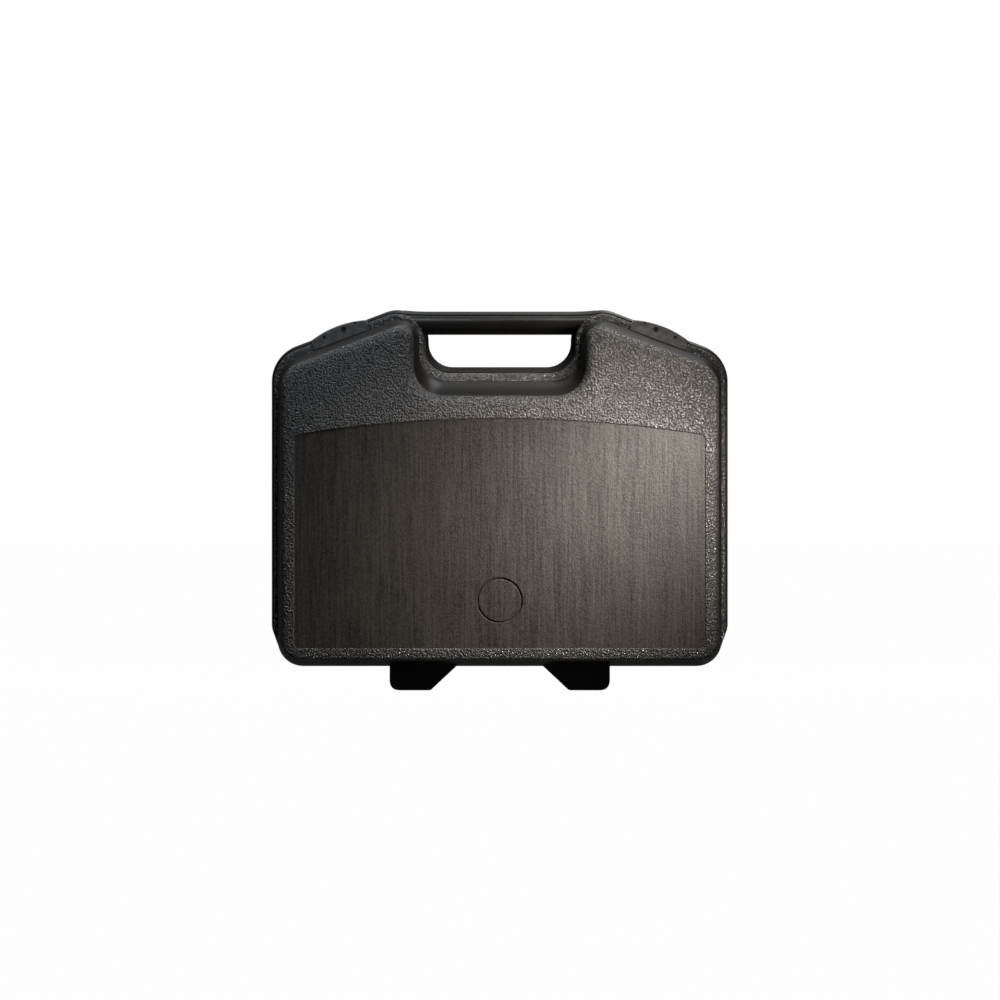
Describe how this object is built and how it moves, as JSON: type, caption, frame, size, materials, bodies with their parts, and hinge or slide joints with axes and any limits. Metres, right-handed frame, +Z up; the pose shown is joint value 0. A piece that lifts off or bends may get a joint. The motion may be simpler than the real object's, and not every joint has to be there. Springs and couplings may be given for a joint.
{
  "type": "microphone carrying case",
  "caption": "Blow-moulded hard carrying case in hinged halves, with a moulded handle, snap latches on its shoulders, hinge feet and die-cut foam for a microphone and its accessories.",
  "frame": {"origin": "on the floor under the middle of the case, in the parting plane of the two halves", "axes": "+X to the right seen from the front, +Y to the back, +Z up; the lid is the front half at -Y and the parting plane is Y = 0"},
  "size_m": [0.36, 0.11, 0.2998],
  "materials": {
    "shell": "black blow-moulded polyethylene, pebble-grained outside, with a smooth panel on each face",
    "latch": "black injection-moulded plastic, satin",
    "foam": "charcoal open-cell foam",
    "foam_backing": "charcoal open-cell foam sheet",
    "steel": "plain drawn pin"
  },
  "bodies": {
    "base": {"base_shell": "shell", "foam_backing": "foam_backing", "foam_insert": "foam", "latch_pin_left": "steel", "latch_pin_right": "steel"},
    "lid": {"lid_shell": "shell", "lid_foam": "foam", "hinge_pin_left": "steel", "hinge_pin_right": "steel"},
    "latch_left": {"latch_left": "latch"},
    "latch_right": {"latch_right": "latch"}
  },
  "joints": [
    {"name": "lid_hinge", "type": "hinge", "parent": "base", "child": "lid", "pos_m": [0, 0, 0.009], "axis": [1, 0, 0], "range_deg": [0, 180]},
    {"name": "latch_left_pivot", "type": "hinge", "parent": "base", "child": "latch_left", "pos_m": [-0.12578, 0.0055, 0.28007], "axis": [-0.9354, 0, -0.3535], "range_deg": [0, 100]},
    {"name": "latch_right_pivot", "type": "hinge", "parent": "base", "child": "latch_right", "pos_m": [0.12578, 0.0055, 0.28007], "axis": [-0.9354, 0, 0.3535], "range_deg": [0, 100]}
  ]
}
